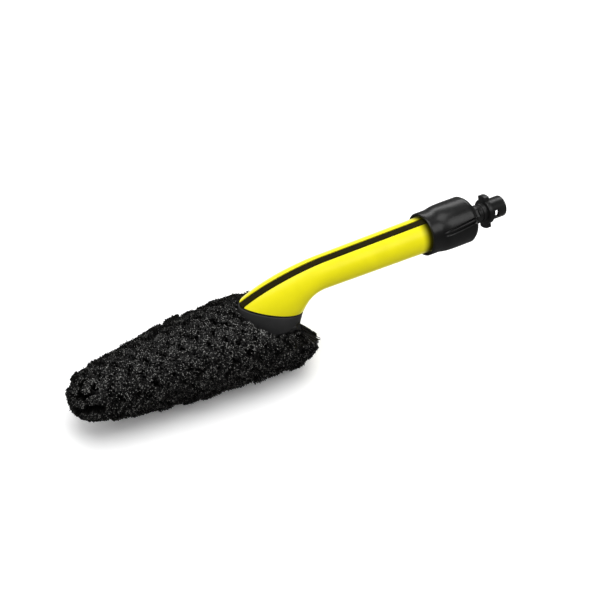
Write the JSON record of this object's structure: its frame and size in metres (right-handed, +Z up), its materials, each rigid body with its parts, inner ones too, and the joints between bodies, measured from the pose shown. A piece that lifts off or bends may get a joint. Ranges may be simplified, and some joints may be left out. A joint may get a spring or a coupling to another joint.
{
  "type": "wheel wash brush",
  "caption": "Pressure-washer wheel brush: an all-round bristle head on a cranked yellow handle, with a union nut and a swivelling bayonet adapter at the water inlet.",
  "frame": {"origin": "middle of the small flat on the underside of the bristles, on which the head stands; the handle's axis runs 71.8 mm above it", "axes": "+X along the handle towards the water inlet, +Z up towards the side with the black strip, +Y to the left when looking along +X"},
  "size_m": [0.3984, 0.076, 0.0917],
  "materials": {
    "yellow_plastic": "gloss",
    "black_plastic": "satin",
    "nut_plastic": "satin",
    "black_strip": "satin",
    "bristle": "matte",
    "seal_rubber": "matte",
    "tube_plastic": "satin",
    "slip_plastic": "satin",
    "screw_steel": "satin"
  },
  "bodies": {
    "brush": {"thread_socket": "black_plastic", "tube_seal": "seal_rubber", "handle_shell_left": "yellow_plastic", "handle_shell_right": "yellow_plastic", "handle_strip": "black_strip", "water_tube": "tube_plastic", "seam_gasket": "seal_rubber", "collar": "black_plastic", "brush_body_upper": "black_plastic", "brush_body_lower": "black_plastic", "body_gasket": "seal_rubber", "tube_grommet": "seal_rubber", "neck_screw_left": "screw_steel", "neck_screw_right": "screw_steel", "body_screw_front": "screw_steel", "body_screw_middle": "screw_steel", "body_screw_rear": "screw_steel", "bristles_top": "bristle", "bristles_bottom": "bristle", "bristles_left": "bristle", "bristles_right": "bristle", "bristles_tip": "bristle", "bristles_rear": "bristle"},
    "nut_carrier": {"slip_ring": "slip_plastic"},
    "nut": {"union_nut": "nut_plastic"},
    "adapter": {"bayonet_adapter": "nut_plastic", "flow_restrictor": "slip_plastic", "spigot_seal_front": "seal_rubber", "spigot_seal_rear": "seal_rubber"}
  },
  "joints": [
    {"name": "nut_turn", "type": "hinge", "parent": "nut_carrier", "child": "nut", "pos_m": [0.174, 0, 0.0718], "axis": [1, 0, 0], "range_deg": [0, 540]},
    {"name": "nut_travel", "type": "slide", "parent": "brush", "child": "nut_carrier", "axis": [1, 0, 0], "range_m": [0, 0.006]},
    {"name": "adapter_swivel", "type": "hinge", "parent": "brush", "child": "adapter", "pos_m": [0.22, 0, 0.0718], "axis": [1, 0, 0], "continuous": true}
  ],
  "couplings": [
    {"joint": "nut_travel", "follows": "nut_turn", "m_per_rad": 0.00063662}
  ]
}
